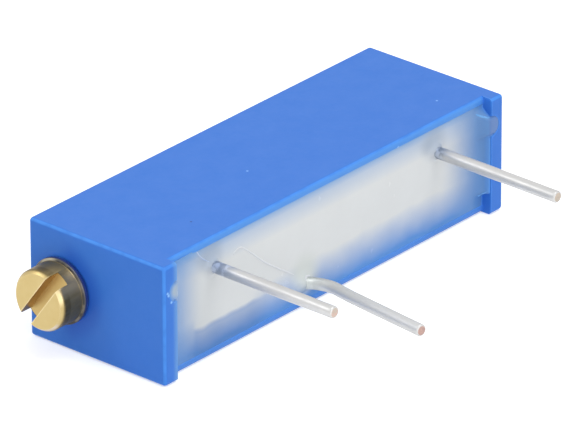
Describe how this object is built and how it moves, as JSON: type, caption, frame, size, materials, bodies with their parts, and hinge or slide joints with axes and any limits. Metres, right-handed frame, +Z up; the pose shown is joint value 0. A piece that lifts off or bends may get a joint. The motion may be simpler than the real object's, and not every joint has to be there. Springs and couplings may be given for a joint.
{
  "type": "trimmer potentiometer",
  "caption": "Rectangular multi-turn trimmer potentiometer: moulded housing, slotted brass lead screw at the end, straight wire pins set in resin along the side.",
  "frame": {"origin": "centre of the housing's lower broad side, on which it lies", "axes": "+X along the housing from the screw end to the far end, -Y the way the pins point, +Z up through the thin way of the housing"},
  "size_m": [0.0204, 0.012, 0.0047],
  "materials": {
    "housing_plastic": "satin",
    "screw_brass": "satin",
    "seal_rubber": "matte",
    "fork_steel": "satin",
    "carriage_plastic": "matte",
    "wiper_alloy": "polished",
    "plate_ceramic": "matte",
    "resistance_film": "satin",
    "metal_film": "matte",
    "solder": "satin",
    "tinned_copper": "satin",
    "potting_resin": "satin"
  },
  "bodies": {
    "housing_body": {"housing": "housing_plastic", "retaining_fork": "fork_steel", "substrate": "plate_ceramic", "resistance_track": "resistance_film", "collector_track": "metal_film", "end_pad_1": "metal_film", "end_pad_3": "metal_film", "solder_joint_1": "solder", "solder_joint_2": "solder", "solder_joint_3": "solder", "pin_1": "tinned_copper", "pin_2": "tinned_copper", "pin_3": "tinned_copper", "potting": "potting_resin"},
    "screw_body": {"adjusting_screw": "screw_brass", "shaft_seal": "seal_rubber"},
    "carriage_body": {"carriage": "carriage_plastic", "wiper_spring": "wiper_alloy"}
  },
  "joints": [
    {"name": "screw_turn", "type": "hinge", "parent": "housing_body", "child": "screw_body", "pos_m": [0, 0.00162, 0.00237], "axis": [1, 0, 0], "range_deg": [-2700.5, 2700.5]},
    {"name": "carriage_slide", "type": "slide", "parent": "housing_body", "child": "carriage_body", "axis": [1, 0, 0], "range_m": [-0.00562, 0.00562]}
  ],
  "couplings": [
    {"joint": "screw_turn", "follows": "carriage_slide", "rad_per_m": -8377.6}
  ]
}
